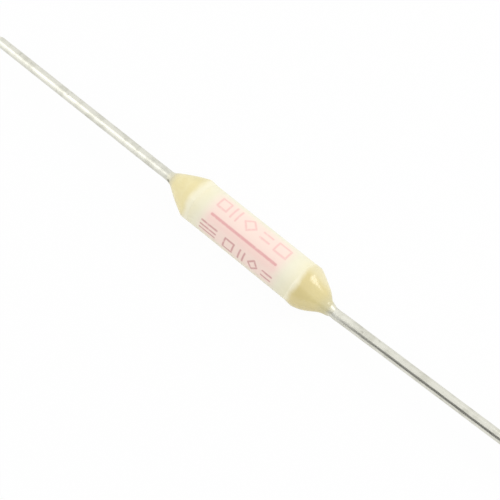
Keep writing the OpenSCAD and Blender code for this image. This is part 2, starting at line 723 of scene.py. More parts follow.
@dataclass(frozen=True)
class CeramicFinish:
    """White fired ceramic: fine grain, faint mottling, cream where resin has crept, and pale print."""

    radius: float
    half_length: float
    white: Colour = linear(244, 240, 218)
    mottle: Colour = linear(240, 236, 212)
    cream: Colour = linear(244, 237, 201)
    haze: Colour = linear(252, 227, 216)
    pit: Colour = linear(205, 195, 178)
    patches: Patches = Patches(0.9, 0.35, 0.7)
    wear: Patches = Patches(6.0, 0.3, 0.5)
    grain_scale: float = 14.0
    rule_angle_deg: float = -22.0
    stain_reach: float = 1.5
    stain_cover: Span = (0.75, 1.0)
    haze_cover: float = 0.95
    haze_middle: float = -0.1
    haze_along: Span = (2.1, 2.95)
    haze_around: Span = (1.0, 1.8)
    ink_left: Span = (0.6, 1.0)
    pit_cover: float = 0.12
    roughness: Span = (0.42, 0.56)
    ink_gloss: float = 0.08
    specular: float = 0.5
    grain_rise: float = 0.5
    pit_depth: float = 0.6
    ink_rise: float = 0.4
    relief: Relief = Relief(0.35, 0.006)

    def material(self) -> bpy.types.Material:
        """Build the material.

        Returns:
            The material.
        """
        material, wiring, shader = new_material("fired_ceramic")
        place = wiring.place()
        height, pits = GRAIN.on(wiring, Place=place, Scale=self.grain_scale)
        along, around = TUBE_MAP.on(wiring, **{
            "Place": place, "Radius": self.radius, "Rule angle": math.radians(self.rule_angle_deg),
        })
        colour = self.bare_colour(wiring, place, along)
        haze = wiring.times(self.haze_mask(wiring, along, around), self.haze_cover)
        colour = wiring.blend(haze, colour, self.haze)
        worn = self.wear.on(wiring, place)
        sheet = wiring.add("ShaderNodeCombineXYZ", {0: along, 1: around}).outputs[0]
        ink: Feed = 0.0
        for row in PRINT:
            mask = row.mask(wiring, sheet)
            share = wiring.times(wiring.times(mask, row.cover), wiring.span(worn, *WHOLE, *self.ink_left))
            colour = wiring.blend(share, colour, row.ink)
            if row.raised:
                ink = wiring.most(ink, mask)
        colour = wiring.blend(wiring.times(pits, self.pit_cover), colour, self.pit)
        wiring.feed(shader.inputs["Base Color"], colour)
        rough = wiring.span(height, *NOISE_BAND, *self.roughness)
        wiring.feed(shader.inputs["Roughness"], wiring.minus(rough, wiring.times(ink, self.ink_gloss)))
        shader.inputs["Specular IOR Level"].default_value = self.specular
        rise = wiring.minus(wiring.times(height, self.grain_rise), wiring.times(pits, self.pit_depth))
        self.relief.on(wiring, shader, wiring.plus(rise, wiring.times(ink, self.ink_rise)))
        return material

    def bare_colour(self, wiring: Wiring, place: Socket, along: Socket) -> Socket:
        """Colour of the ceramic before it is printed.

        Args:
            wiring: Wiring of the material.
            place: Place on the part.
            along: Place along the tube.

        Returns:
            The colour.
        """
        patches = self.patches.on(wiring, place)
        colour = wiring.blend(patches, self.white, self.mottle)
        crept = wiring.span(wiring.unsigned(along), self.half_length - self.stain_reach, self.half_length)
        cover = wiring.span(patches, *WHOLE, *self.stain_cover)
        return wiring.blend(wiring.times(crept, cover), colour, self.cream)

    def haze_mask(self, wiring: Wiring, along: Socket, around: Socket) -> Socket:
        """Mask of the faint tint that the print's ink leaves round it.

        Args:
            wiring: Wiring of the material.
            along: Place along the tube.
            around: Place round the tube from the rule.

        Returns:
            The mask.
        """
        off = wiring.unsigned(wiring.minus(along, self.haze_middle))
        beside = wiring.span(off, *self.haze_along, *FADING)
        above = wiring.span(wiring.unsigned(around), *self.haze_around, *FADING)
        return wiring.times(beside, above)


@dataclass(frozen=True)
class ResinTone:
    """Colours of one seal, and the distances in millimetres over which they change."""

    body: Colour
    deep: Colour
    rim_span: Span
    # far and its cover: painted light and shade on the seal's far (+Y) side
    far: Colour
    far_shading_cover: float
    # tip and its span: greyer resin towards the wire, thin resin over the tin and partly a painted dark
    # reflection of the metal
    tip: Colour
    tip_span: Span


# far paints shade on the left seal's far side and light on the right seal's far side
LEFT_TONE = ResinTone(
    body=linear(242, 231, 180), deep=linear(237, 222, 163), rim_span=(-0.3, 0.14),
    far=linear(230, 218, 160), far_shading_cover=0.7, tip=linear(216, 208, 176), tip_span=(0.15, 0.75),
)
RIGHT_TONE = ResinTone(
    body=linear(225, 210, 150), deep=linear(224, 207, 146), rim_span=(-0.48, -0.1),
    far=linear(236, 227, 187), far_shading_cover=0.75, tip=linear(212, 204, 162), tip_span=(0.3, 1.0),
)


@dataclass(frozen=True)
class ResinFinish:
    """Yellowish cured resin, clouded and glossy. It is pale as a film on the tube and clear on the wire."""

    name: str
    rim_x: float
    exit_x: float
    tone: ResinTone
    film: Colour = linear(246, 240, 210)
    wet_tin: Colour = linear(222, 219, 200)
    # Painted shade: a dark spot where the left seal's edge meets its wire
    painted_edge_shade: Colour = linear(112, 109, 96)
    patches: Patches = Patches(1.1, 0.35, 0.68)
    grain_scale: float = 6.0
    wander: float = 0.12
    clear_span: Span = (0.1, 0.42)
    pool_span: Span = (0.25, 0.7)
    pool_cover: float = 0.7
    patch_cover: float = 0.8
    pit_cover: float = 0.1
    # Run towards +Y over which the painted light and shade of the far side comes in
    far_shading_span: Span = (0.15, 0.75)
    painted_edge_shade_at: Point = (-5.725, -0.24, 0.12)
    painted_edge_shade_span: Span = (0.03, 0.17)
    painted_edge_shade_cover: float = 0.8
    metal_shown: float = 0.6
    roughness: Span = (0.17, 0.25)
    wire_dulling: float = 0.2
    specular: float = 0.85
    grain_rise: float = 0.5
    patch_rise: float = 1.5
    relief: Relief = Relief(0.16, 0.006)

    def material(self) -> bpy.types.Material:
        """Build the material.

        Returns:
            The material.
        """
        material, wiring, shader = new_material(self.name)
        place = wiring.place()
        patches = self.patches.on(wiring, place)
        height, pits = GRAIN.on(wiring, Place=place, Scale=self.grain_scale)
        axes = wiring.axes(place)
        out = wiring.unsigned(axes["X"])
        wander = wiring.times(wiring.minus(patches, MASK_MIDDLE), self.wander)
        from_rim = wiring.plus(wiring.minus(out, self.rim_x), wander)
        from_exit = wiring.plus(wiring.minus(self.exit_x, out), wander)
        aside = wiring.plus(axes["Y"], wander)
        on_wire = wiring.span(from_exit, *self.clear_span, *FADING)

        colour = self.cone_colour(wiring, patches, pits, from_rim, aside)
        # Greyer towards the wire: thin resin over the tin, partly a painted dark reflection of the metal
        near_wire = wiring.span(from_exit, *self.tone.tip_span, *FADING)
        colour = wiring.blend(near_wire, colour, self.tone.tip)
        colour = wiring.blend(on_wire, colour, self.wet_tin)
        # Painted shade in the crease at the left seal's edge on the wire, as a dark spot
        off = wiring.vector("DISTANCE", place, self.painted_edge_shade_at, out="Value")
        painted_edge_shade_mask = wiring.span(off, *self.painted_edge_shade_span, self.painted_edge_shade_cover, 0.0)
        wiring.feed(shader.inputs["Base Color"], wiring.blend(painted_edge_shade_mask, colour, self.painted_edge_shade))
        wiring.feed(shader.inputs["Metallic"], wiring.times(on_wire, self.metal_shown))
        rough = wiring.span(height, *NOISE_BAND, *self.roughness)
        rough = wiring.plus(rough, wiring.times(on_wire, self.wire_dulling))
        wiring.feed(shader.inputs["Roughness"], rough)
        shader.inputs["Specular IOR Level"].default_value = self.specular
        rise = wiring.plus(wiring.times(height, self.grain_rise), wiring.times(patches, self.patch_rise))
        self.relief.on(wiring, shader, rise)
        return material

    def cone_colour(self, wiring: Wiring, patches: Socket, pits: Socket, from_rim: Socket,
                    aside: Socket) -> Socket:
        """Colour of the cone and its skirt, before the wire shows through.

        Args:
            wiring: Wiring of the material.
            patches: Mask of the clouded patches.
            pits: Mask of the pits.
            from_rim: Distance outwards from the tube's rim.
            aside: Distance from the middle towards +Y.

        Returns:
            The colour.
        """
        tone = self.tone
        thick = wiring.span(from_rim, *tone.rim_span)
        pooled = wiring.times(wiring.span(from_rim, *self.pool_span, *FADING), self.pool_cover)
        clouded = wiring.most(wiring.times(patches, self.patch_cover), pooled)
        colour = wiring.blend(clouded, tone.body, tone.deep)
        colour = wiring.blend(thick, self.film, colour)
        colour = wiring.blend(wiring.times(pits, self.pit_cover), colour, self.film)
        # Painted light and shade on the far (+Y) side, where the resin is thick
        painted_far_shading = wiring.times(wiring.span(aside, *self.far_shading_span), tone.far_shading_cover)
        return wiring.blend(wiring.times(painted_far_shading, thick), colour, tone.far)


@dataclass(frozen=True)
class TinFinish:
    """Drawn copper wire with bright tin: fine lines along it and duller patches in the plating."""

    bright: Colour = linear(225, 224, 213)
    dull: Colour = linear(208, 207, 195)
    speck: Colour = linear(150, 148, 138)
    lines_along: float = 0.6
    lines_across: float = 26.0
    patches: Patches = Patches(1.6, 0.42, 0.72)
    specks: Patches = Patches(5.5, 0.6, 0.78)
    speck_cover: float = 0.5
    roughness: Span = (0.26, 0.36)
    patch_dulling: float = 0.08
    dull_span: Span = (6.2, 7.8)
    dulling: float = 0.22
    polish_span: Span = (7.5, 12.0)
    polish: float = 0.08
    speck_depth: float = 0.8
    relief: Relief = Relief(0.25, 0.004)

    def material(self) -> bpy.types.Material:
        """Build the material.

        Returns:
            The material.
        """
        material, wiring, shader = new_material("bright_tin")
        place = wiring.place()
        lines, = DRAWN_LINES.on(wiring, Place=place, Along=self.lines_along, Across=self.lines_across)
        patches, specks = self.patches.on(wiring, place), self.specks.on(wiring, place)
        colour = wiring.blend(patches, self.bright, self.dull)
        colour = wiring.blend(wiring.times(specks, self.speck_cover), colour, self.speck)
        wiring.feed(shader.inputs["Base Color"], colour)
        rough = wiring.span(lines, *NOISE_BAND, *self.roughness)
        rough = wiring.plus(rough, wiring.times(patches, self.patch_dulling))
        wiring.feed(shader.inputs["Roughness"], self.handled(wiring, rough, wiring.axes(place)["X"]))
        self.relief.on(wiring, shader, wiring.minus(lines, wiring.times(specks, self.speck_depth)))
        shader.inputs["Metallic"].default_value = 1.0
        return material

    def handled(self, wiring: Wiring, rough: Socket, along: Socket) -> Socket:
        """Roughness after sealing: the right lead is duller beside its seal and brighter far out.

        Args:
            wiring: Wiring of the material.
            rough: Roughness of the plating by itself.
            along: Place along the part.

        Returns:
            The roughness.
        """
        near = wiring.times(wiring.span(along, *self.dull_span, *FADING), wiring.span(along, *WHOLE))
        rough = wiring.plus(rough, wiring.times(near, self.dulling))
        return wiring.minus(rough, wiring.times(wiring.span(along, *self.polish_span), self.polish))


@dataclass(frozen=True)
class CastFinish:
    """A cast surface inside the tube, in two tones by patches, with a grain and small pits."""

    name: str
    first: Colour
    second: Colour
    patches: Patches
    grain_scale: float
    pit_cover: float
    roughness: Span
    relief: Relief
    metallic: float

    def material(self) -> bpy.types.Material:
        """Build the material.

        Returns:
            The material.
        """
        material, wiring, shader = new_material(self.name)
        place = wiring.place()
        height, pits = GRAIN.on(wiring, Place=place, Scale=self.grain_scale)
        colour = wiring.blend(self.patches.on(wiring, place), self.first, self.second)
        colour = wiring.blend(wiring.times(pits, self.pit_cover), colour, self.second)
        wiring.feed(shader.inputs["Base Color"], colour)
        wiring.feed(shader.inputs["Roughness"], wiring.span(height, *NOISE_BAND, *self.roughness))
        self.relief.on(wiring, shader, height)
        shader.inputs["Metallic"].default_value = self.metallic
        return material


GREY_ALLOY = CastFinish(
    "grey_alloy", first=linear(186, 186, 190), second=linear(150, 150, 156),
    patches=Patches(3.0, 0.35, 0.65), grain_scale=16.0, pit_cover=0.4, roughness=(0.38, 0.55),
    relief=Relief(0.4, 0.006), metallic=1.0,
)
AMBER_FLUX = CastFinish(
    "amber_flux", first=linear(222, 178, 96), second=linear(236, 205, 140),
    patches=Patches(2.2, 0.35, 0.65), grain_scale=9.0, pit_cover=0.5, roughness=(0.15, 0.3),
    relief=Relief(0.2, 0.005), metallic=0.0,
)


# Sub-assemblies


def place_piece(piece: bpy.types.Object, node: str, material: bpy.types.Material) -> None:
    """Dress a piece and put it in the place of its solid.

    Args:
        piece: The piece.
        node: Solid that it stands for.
        material: Its finish.
    """
    piece.data.materials.append(material)
    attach(piece, BODY)
    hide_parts(node)
    log.info("%s: %d points, stands for %s", piece.name, len(piece.data.vertices), node)


@dataclass
class CeramicCase:
    """White ceramic tube with chamfered rims."""

    diameter: float = 2.5
    length: float = 7.8
    wall: float = 0.4
    chamfer: float = 0.1
    edge_round: float = 0.035
    edge_steps: int = 6
    spacing: float = 0.3
    sides: int = 256
    sharp_deg: float = 60.0

    @property
    def radius(self) -> float:
        """Outer radius."""
        return self.diameter / 2

    @property
    def bore(self) -> float:
        """Inner radius."""
        return self.radius - self.wall

    def build(self) -> bpy.types.Object:
        """Build the tube's mesh.

        Returns:
            The tube.
        """
        half = self.length / 2
        corners = np.array([
            [-half, self.bore], [-half, self.radius - self.chamfer], [self.chamfer - half, self.radius],
            [half - self.chamfer, self.radius], [half, self.radius - self.chamfer], [half, self.bore],
        ])
        profile = fill_line(round_line(corners, self.edge_round, self.edge_steps), self.spacing)
        turns = circle_of(self.sides)
        rings = np.stack([
            np.repeat(profile[:, :1], self.sides, 1),
            profile[:, 1:] * np.sin(turns),
            profile[:, 1:] * np.cos(turns),
        ], -1)
        return make_piece("ceramic_tube", rings, loop=True, sharp_deg=self.sharp_deg)

    def dress(self, piece: bpy.types.Object) -> None:
        """Give the tube its finish and put it in place."""
        finish = CeramicFinish(self.radius, self.length / 2)
        place_piece(piece, "ceramic_case", finish.material())


@dataclass
class TubeEnd:
    """One end of the tube with the way its seal and lead lie.

    Local Z points out of the tube from the rim's plane.
    """

    side: Side
    case: CeramicCase
    seal_l: float
    crown: float
    drift: float
    reach: float
    lead_offset: float
    lead_lean_deg: float
    lead_l: float = 13.45
    seal_depth: float = 0.9
    lead_d: float = 0.6

    @property
    def lead_r(self) -> float:
        """Radius of the wire."""
        return self.lead_d / 2

    @property
    def lean(self) -> float:
        """Lean of the wire in radians."""
        return math.radians(self.lead_lean_deg)

    @property
    def exit_z(self) -> float:
        """Local height at which the wire leaves its meniscus."""
        return self.seal_l + self.reach

    @property
    def buried(self) -> float:
        """Length of wire from the end of its meniscus down to its head."""
        return self.exit_z + self.seal_depth

    @property
    def word(self) -> str:
        """The end's word in the names of its pieces."""
        return self.side.name.lower()

    def to_part(self, local: np.ndarray) -> np.ndarray:
        """Carry points from the end's frame to the part's frame.

        Args:
            local: Points by any number of places, and axis.

        Returns:
            The points in the part's frame.
        """
        sign = self.side.value
        return np.stack([
            sign * (self.case.length / 2 + local[..., 2]), local[..., 1], -sign * local[..., 0],
        ], -1)

    def on_wire(self, along: np.ndarray, off: np.ndarray, aside: np.ndarray) -> np.ndarray:
        """Points given by their place on the wire, in the end's frame.

        Args:
            along: Distance along the wire from the end of its meniscus.
            off: Distance from the wire's middle line along local X.
            aside: Distance from the wire's middle line in the plane of its lean.

        Returns:
            The points.
        """
        return np.stack([
            off,
            self.lead_offset + aside * math.cos(self.lean) + along * math.sin(self.lean),
            self.exit_z - aside * math.sin(self.lean) + along * math.cos(self.lean),
        ], -1)

    def round_wire(self, along: np.ndarray, radius: np.ndarray | float, turns: np.ndarray) -> np.ndarray:
        """Return points on the wire by distance along it, radius and angle, in the end's frame."""
        return self.on_wire(along, radius * np.cos(turns), radius * np.sin(turns))

    def from_wire(self, local: np.ndarray) -> tuple[np.ndarray, np.ndarray, np.ndarray]:
        """Place on the wire of points in the end's frame, as on_wire takes it.

        Args:
            local: The points.

        Returns:
            Distance along the wire, along local X, and in the plane of the lean.
        """
        y, z = local[..., 1] - self.lead_offset, local[..., 2] - self.exit_z
        along = z * math.cos(self.lean) + y * math.sin(self.lean)
        aside = y * math.cos(self.lean) - z * math.sin(self.lean)
        return along, local[..., 0], aside


@dataclass
class Lead:
    """Tinned wire with a cold-formed head in the tube and a cutter's two flats on its free end."""

    end: TubeEnd
    seed: float
    head_r: float = 0.48
    head_t: float = 0.25
    head_bevel: float = 0.03
    head_rings: int = 4
    neck_swell: float = 0.03
    neck_rings: int = 12
    pitch: float = 0.1
    sides: int = 96
    sharp_deg: float = 35.0
    cut_slope_deg: float = 50.0
    ridge_round: float = 0.02
    tip_edge: Span = (1.0, 0.985)  # shares of the radius at the flats' outer rings
    tip_span: Span = (0.94, 0.06)  # shares of the radius from the first inner ring to the last
    tip_rings: int = 12
    unevenness: float = 0.004
    uneven_start: float = 0.5  # run in which the unevenness begins
    tip_fade: float = 3.0  # how quickly it ends towards the tip's middle
    long_waves: Waves = Waves(1.9, stretch=(1.0, 1.0, 0.45))
    short_waves: Waves = Waves(5.0, seed_step=7.0)
    short_share: float = 0.4
    lumps: float = 0.02
    lumps_start: float = 0.1
    lumps_reach: float = 1.1
    lump_waves: Waves = Waves(2.6, seed_step=11.0, stretch=(0.7, 0.7, 1.0))

    @property
    def cut_slope(self) -> float:
        """Fall of the cutter's flats for each millimetre sideways."""
        return math.tan(math.radians(self.cut_slope_deg))

    def outline(self) -> np.ndarray:
        """Draw the half outline of the wire up to where the flats start.

        Returns:
            Distance along the wire and radius of each point.
        """
        end, bevel = self.end, self.head_bevel
        inner = -end.buried - self.head_t
        head = [[inner, self.head_r * k / self.head_rings] for k in range(1, self.head_rings)]
        head += [[inner, self.head_r - bevel], [inner + bevel, self.head_r],
                 [-end.buried - bevel, self.head_r], [-end.buried, self.head_r - bevel]]
        neck = np.linspace(-end.buried, 0, self.neck_rings, endpoint=False)
        swell = end.lead_r - self.neck_swell * neck / end.buried
        flats = end.lead_l - end.lead_r * self.cut_slope
        bare = np.linspace(0, flats, math.ceil(flats / self.pitch))
        straight = np.full_like(bare, end.lead_r)
        return np.concatenate([head, np.stack([neck, swell], -1), np.stack([bare, straight], -1)])

    def uneven_plating(self, along: np.ndarray, radius: np.ndarray, turns: np.ndarray) -> np.ndarray:
        """Unevenness of the plating, with lumps beside the seal.

        Args:
            along: Distance of each point along the wire.
            radius: Radius of each point.
            turns: Angles round the wire.

        Returns:
            What is added to each radius.
        """
        local = self.end.round_wire(along, radius, turns)
        uneven = self.long_waves.on(local, self.seed)
        uneven = uneven + self.short_share * self.short_waves.on(local, self.seed)
        rim = np.clip(radius / self.end.lead_r * self.tip_fade - (self.tip_fade - 1), 0, 1)
        shown = np.clip(along / self.uneven_start, 0, 1) * rim
        lumpy = self.lump_waves.on(local, self.seed)
        near = np.clip(along / self.lumps_start, 0, 1) * np.exp(-np.clip(along, 0, None) / self.lumps_reach)
        return self.unevenness * uneven * shown + self.lumps * lumpy * near

    def build(self) -> bpy.types.Object:
        """Build the wire's mesh.

        Returns:
            The wire.
        """
        end, turns = self.end, circle_of(self.sides)
        along, radius = (np.repeat(column[:, None], self.sides, 1) for column in self.outline().T)
        shares = np.concatenate([self.tip_edge, np.linspace(*self.tip_span, self.tip_rings)])
        tip_r = np.repeat(shares[:, None] * end.lead_r, self.sides, 1)
        drop = np.hypot(tip_r * np.sin(turns), self.ridge_round) - self.ridge_round
        along = np.concatenate([along, end.lead_l - drop * self.cut_slope])
        radius = np.concatenate([radius, tip_r])
        radius = radius + self.uneven_plating(along, radius, turns)
        rings = end.to_part(end.round_wire(along, radius, turns))
        return make_piece(f"{end.word}_wire", rings, loop=False, sharp_deg=self.sharp_deg)

    def dress(self, piece: bpy.types.Object, material: bpy.types.Material) -> None:
        """Give the wire its finish and put it in place."""
        place_piece(piece, f"{self.end.word}_lead", material)


@dataclass
class Seal:
    """Cone of resin that plugs the tube, laps its rim with a skirt, and creeps along the wire."""

    end: TubeEnd
    tone: ResinTone
    seed: float
    skirt_l: float = 0.4
    lip: float = 0.015  # least overhang of the cone past the tube
    film: float = 0.012  # thickness of the skirt at its edge
    meniscus_l: float = 1.0
    meniscus_t: float = 0.27
    meniscus_edge: float = 0.04
    bead: float = 0.34  # run over which the meniscus thins out to its edge
    thin: float = 0.02  # share of its thickness that is left at the edge
    creep: float = 0.16  # most that the edge falls short of its full reach
    creep_reach: float = 0.45  # run of the rings that follow the edge
    dip: float = 0.97  # share of the wire's radius at which the cone ends
    blend: float = 0.05  # run past the reach over which the cone gives way
    bend: float = 0.0  # sideways bend of the cone's middle
    bend_reach: float = 0.75  # share of the cone's length that bends
    fillet: float = 0.05  # softness between the cone and the meniscus
    fillet_reach: float = 0.3
    shoulder: float = 0.055  # softness of the outline
    shoulder_widths: int = 3
    lumps: float = 0.007
    lumps_fade: float = 0.3
    lump_waves: Waves = Waves(1.1)
    fine_waves: Waves = Waves(2.7, seed_step=3.0)
    fine_share: float = 0.35
    skirt_wave: float = 0.05
    skirt_waves: Waves = Waves(1.6)
    feather: float = 0.06  # run in which the skirt thins out to nothing
    hem: float = 0.7  # share of the skirt's length at the last ring inside
    clearance: float = 0.0006  # room between the resin and what it grips
    neck_room: Span = (0.03, 0.035)  # room round the wire in the cone and at its head
    skirt_steps: int = 40
    bow_steps: int = 120
    past_steps: int = 20
    fine_steps: int = 600
    kept_step: int = 4
    sides: int = 192
    sharp_deg: float = 50.0

    @property
    def tip(self) -> float:
        """Angle by which the cone is tipped over at the skirt's edge."""
        return math.atan(self.end.drift / (self.end.seal_l + self.skirt_l))

    @property
    def rim_r(self) -> float:
        """Radius of the cone over the rim."""
        return self.end.case.radius + self.lip + self.skirt_l * abs(math.sin(self.tip))

    def outline(self) -> np.ndarray:
        """Draw the half outline of the skirt and the bowed cone.

        Returns:
            Height over the rim and radius of each point.
        """
        end = self.end
        rise = self.rim_r - end.lead_r
        chord = math.hypot(rise, end.seal_l)
        outward = np.array([rise, end.seal_l]) / chord
        bow_r = ((chord / 2) ** 2 + end.crown ** 2) / (2 * end.crown)
        middle = np.array([end.seal_l, self.rim_r + end.lead_r]) / 2 - outward * (bow_r - end.crown)
        half = math.asin(chord / 2 / bow_r)
        lie = math.atan2(outward[1], outward[0])
        angles = np.linspace(lie + half, lie - half, self.bow_steps)
        bow = middle + bow_r * np.stack([np.cos(angles), np.sin(angles)], -1)
        skirt = np.stack([
            np.linspace(-self.skirt_l, 0, self.skirt_steps, endpoint=False),
            np.linspace(end.case.radius + self.film, self.rim_r, self.skirt_steps, endpoint=False),
        ], -1)
        heights = np.linspace(end.seal_l, end.exit_z, self.past_steps)[1:]
        past = np.stack([heights, np.full_like(heights, end.lead_r * self.dip)], -1)
        return self.soften(np.concatenate([skirt, bow, past]))

    def soften(self, line: np.ndarray) -> np.ndarray:
        """Round the shoulder over the rim and space the points evenly.

        Args:
            line: Height and radius of each point.

        Returns:
            The softened line.
        """
        steps = np.concatenate([[0], np.cumsum(np.linalg.norm(np.diff(line, axis=0), axis=1))])
        even = np.linspace(0, steps[-1], self.fine_steps)
        fine = np.stack([np.interp(even, steps, column) for column in line.T], -1)
        width = self.shoulder / (even[1] - even[0])
        reach = int(self.shoulder_widths * width)
        weights = np.exp(-((np.arange(-reach, reach + 1) / width) ** 2) / 2)
        before = 2 * fine[:1] - fine[reach:0:-1]
        after = 2 * fine[-1:] - fine[-2:-reach - 2:-1]
        padded = np.concatenate([before, fine, after])
        soft = np.stack([np.convolve(column, weights / weights.sum(), "valid") for column in padded.T], -1)
        last = self.fine_steps - 1
        return soft[np.append(np.arange(0, last, self.kept_step), last)]

    def tipped_cone(self, turns: np.ndarray) -> np.ndarray:
        """Rings of the skirt and the tipped, slightly lumpy cone, in the end's frame.

        Args:
            turns: Angles round the axis.

        Returns:
            The rings.
        """
        end = self.end
        height, radius = (np.repeat(column[:, None], len(turns), 1) for column in self.outline().T)
        low = np.clip(-height / self.skirt_l, 0, 1)
        circle = np.stack([np.cos(turns), np.sin(turns), np.zeros_like(turns)], -1)
        height = height + low * self.skirt_wave * self.skirt_waves.on(circle, self.seed)
        up = height + self.skirt_l
        local = np.stack([
            radius * np.cos(turns),
            radius * np.sin(turns) * math.cos(self.tip) + up * math.sin(self.tip),
            up * math.cos(self.tip) - radius * np.sin(turns) * math.sin(self.tip) - self.skirt_l,
        ], -1)
        lump = self.lump_waves.on(local, self.seed) + self.fine_share * self.fine_waves.on(local, self.seed)
        shown = (1 - low) * np.clip((end.seal_l - height) / self.lumps_fade, 0, 1)
        local[..., :2] *= (1 + self.lumps * lump * shown)[..., None]
        local[..., 1] += self.bend * np.sin(math.pi * np.clip(height / end.seal_l / self.bend_reach, 0, 1))
        return local

    def radius_on_wire(self, along: np.ndarray, out: np.ndarray, edge: np.ndarray) -> np.ndarray:
        """Blend the cone into the hollow meniscus that creeps along the wire.

        Args:
            along: Distance of each point along the wire.
            out: Distance of the cone's points from the wire's middle line.
            edge: How far the resin's edge falls short of its full reach.

        Returns:
            Distance of the resin's points from the wire's middle line.
        """
        end = self.end
        flare = self.meniscus_t - self.meniscus_edge
        flare_r = (self.meniscus_l ** 2 + flare ** 2) / (2 * flare)
        hollow = flare_r - np.sqrt(flare_r ** 2 - np.clip(along, -self.meniscus_l, 0) ** 2)
        share = np.clip((-edge - along) / self.bead, self.thin, 1)
        flared = end.lead_r + (self.meniscus_edge + hollow) * share * (2 - share)
        near = np.clip((-edge - along) / (end.reach + self.blend), 0, 1)
        sunk = end.lead_r * self.dip
        cone = sunk + (out - sunk) * ease(near)
        fillet = self.fillet * np.clip(-along / self.fillet_reach, 0, 1)
        return (cone + flared + np.hypot(cone - flared, fillet)) / 2

    def outer(self, turns: np.ndarray) -> np.ndarray:
        """Rings of the outside, from the skirt's edge to the end of the meniscus, in the end's frame.

        Args:
            turns: Angles round the axis.

        Returns:
            The rings.
        """
        along, off, aside = self.end.from_wire(self.tipped_cone(turns))
        last = int(np.argmax((along > -self.creep_reach).any(1)))
        along[last:] = along[last] * np.linspace(1, 0, len(along) - last)[:, None]
        edge = self.free_edge(turns)
        crept = along - edge * (1 + along / self.creep_reach)
        along = np.where(along > -self.creep_reach, crept, along)
        out = np.maximum(np.hypot(off, aside), LEAST_LENGTH)
        full = self.radius_on_wire(along, out, edge)
        return self.end.on_wire(along, off / out * full, aside / out * full)

    def free_edge(self, turns: np.ndarray) -> np.ndarray:
        """How far the resin's edge on the wire falls short of its full reach.

        Args:
            turns: Angles round the wire.

        Returns:
            The distance at each angle.
        """
        middle, once, twice, twice_shift = 0.5, 0.3, 0.2, 2.6
        waver = once * np.sin(turns + self.seed) + twice * np.sin(2 * turns + twice_shift * self.seed)
        return self.creep * (middle + waver)

    def inner(self, turns: np.ndarray) -> np.ndarray:
        """Rings of the inside, from the meniscus down the wire, along the bore and back to the skirt.

        Args:
            turns: Angles round the axis.

        Returns:
            The rings, in the end's frame.
        """
        end, case, gap = self.end, self.end.case, self.clearance
        exit_room, head_room = self.neck_room
        on_wire = (
            (-self.free_edge(turns), end.lead_r + gap),
            (-end.exit_z, end.lead_r + exit_room),
            (gap - end.buried, end.lead_r + head_room),
        )
        in_tube = (
            (gap - end.seal_depth, case.bore - gap),
            (-end.seal_depth / 2, case.bore - gap),
            (gap, case.bore - gap),
            (gap, case.radius - case.chamfer),
            (gap - case.chamfer, case.radius + gap),
            (-self.skirt_l * self.hem, case.radius + gap),
        )
        rings = [end.round_wire(np.broadcast_to(along, turns.shape), r, turns) for along, r in on_wire]
        rings += [
            np.stack([r * np.cos(turns), r * np.sin(turns), np.full_like(turns, height)], -1)
            for height, r in in_tube
        ]
        return np.stack(rings)

    def build(self) -> bpy.types.Object:
        """Build the seal's mesh.

        Returns:
            The seal.
        """
        end, turns = self.end, circle_of(self.sides)
        outer = self.outer(turns)
        edge = outer[:1].copy()
        edge[..., 2] -= self.feather
        on_tube = (end.case.radius + self.clearance) / np.linalg.norm(edge[..., :2], axis=-1)
        edge[..., :2] *= on_tube[..., None]
        rings = end.to_part(np.concatenate([edge, outer, self.inner(turns)]))
        return make_piece(f"{end.word}_resin", rings, loop=True, sharp_deg=self.sharp_deg)

    def dress(self, piece: bpy.types.Object) -> None:
        """Give the seal its finish and put it in place.

        Args:
            piece: The seal.
        """
        end, rim_x = self.end, self.end.case.length / 2
        finish = ResinFinish(f"{end.word}_cured_resin", rim_x, rim_x + end.exit_z, self.tone)
        place_piece(piece, f"{end.word}_seal", finish.material())


@dataclass
class LinkInside:
    """The alloy link and its flux, closed in by the tube and the seals. Both keep their solids."""

    link: CastFinish = GREY_ALLOY
    flux: CastFinish = AMBER_FLUX

    def dress(self) -> None:
        """Give the solids inside the tube their finishes."""
        for node, finish in (("fusible_link", self.link), ("flux_coat", self.flux)):
            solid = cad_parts[node]
            solid.data.materials.clear()
            solid.data.materials.append(finish.material())
            log.info("%s: keeps its solid", node)


# Studio


def stand_up(name: str, data: bpy.types.ID, place: Vector, turn: Quaternion) -> bpy.types.Object:
    """Put a lamp or a camera in the scene.

    Args:
        name: Name of the object.
        data: Its lamp or camera.
        place: Where it stands, in millimetres.
        turn: Which way it looks.

    Returns:
        The object.
    """
    holder = bpy.data.objects.new(name, data)
    holder.location = place * MM
    holder.rotation_mode = "QUATERNION"
    holder.rotation_quaternion = turn
    bpy.context.scene.collection.objects.link(holder)
    return holder


@dataclass(frozen=True)
class SoftBox:
    """A soft lamp that looks at the part."""

    name: str
    place: Point
    width: float
    height: float
    radiance: float

    def build(self) -> None:
        """Put the lamp in the scene."""
        lamp = bpy.data.lights.new(self.name, "AREA")
        lamp.shape = "RECTANGLE"
        lamp.size, lamp.size_y = self.width * MM, self.height * MM
        lamp.energy = self.radiance * math.pi * lamp.size * lamp.size_y
        place = Vector(self.place)
        stand_up(self.name, lamp, place, (-place).to_track_quat("-Z", "Y"))


